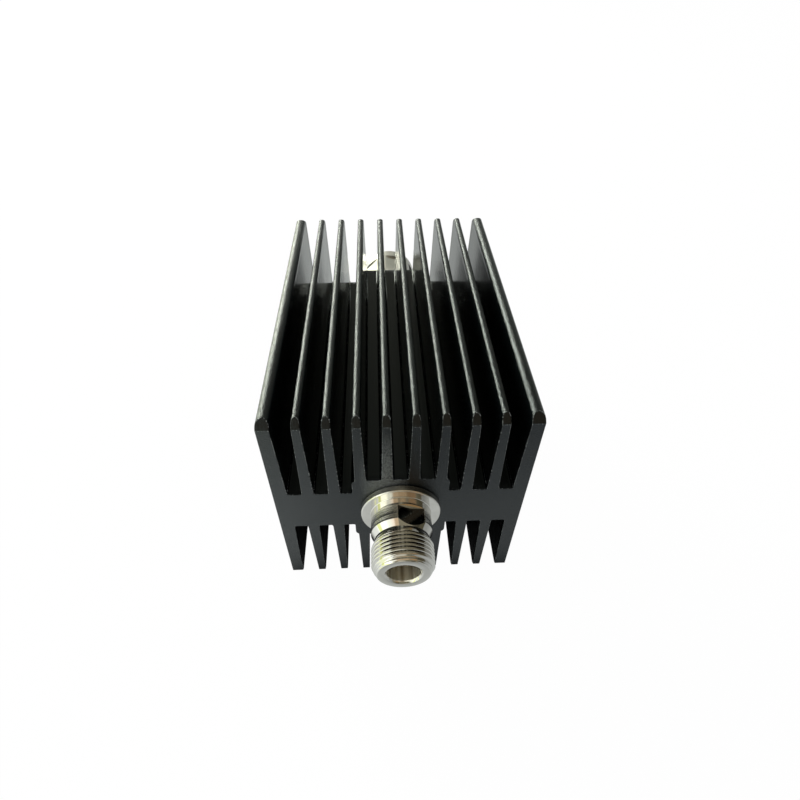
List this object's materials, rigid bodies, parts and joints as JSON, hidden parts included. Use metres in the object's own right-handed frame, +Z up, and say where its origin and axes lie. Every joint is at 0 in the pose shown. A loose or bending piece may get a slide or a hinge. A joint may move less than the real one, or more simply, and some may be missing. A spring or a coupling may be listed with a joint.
{
  "type": "coaxial attenuator",
  "caption": "Finned black heat sink with a round-flanged coaxial jack at the front, a plug with a turning coupling nut at the rear, and a ceramic attenuator card inside.",
  "frame": {"origin": "on the ground under the middle of the object, level with the lowest fin crests, on the port axis's vertical plane", "axes": "+Y along the port axis, from the jack to the plug; +X across the fins; +Z up"},
  "size_m": [0.066, 0.1382, 0.0685],
  "materials": {
    "anodised": "black anodised over a fine bead-blasted grain",
    "nickel": "polished bright nickel plate",
    "gold": "thin gold plate, satin",
    "fluoropolymer": "waxy white, turned",
    "bare_brass": "turned",
    "black_rubber": "matt",
    "red_rubber": "matt silicone",
    "spring_steel": "plain",
    "plain_aluminium": "milled",
    "ceramic": "fired white ceramic",
    "silver_film": "fired silver print",
    "resistor_film": "fired resistor print"
  },
  "bodies": {
    "housing": {"heat_sink": "anodised", "front_jack_body": "nickel", "front_contact": "gold", "front_bead": "fluoropolymer", "front_bush": "bare_brass", "front_seal_ring": "black_rubber", "rear_plug_body": "nickel", "rear_outer_contact": "nickel", "rear_pin": "gold", "rear_bead": "fluoropolymer", "rear_bush": "bare_brass", "rear_seal_ring": "black_rubber", "face_gasket": "red_rubber", "retaining_ring": "spring_steel", "carrier_base": "plain_aluminium", "carrier_cover": "plain_aluminium", "carrier_screws": "spring_steel", "ceramic_card": "ceramic", "film_electrodes": "silver_film", "resistive_film": "resistor_film", "front_tab": "gold", "rear_tab": "gold"},
    "nut": {"coupling_nut": "nickel"}
  },
  "joints": [
    {"name": "nut_turn", "type": "hinge", "parent": "housing", "child": "nut", "pos_m": [0, 0.06, 0.03425], "axis": [0, 1, 0], "continuous": true}
  ]
}
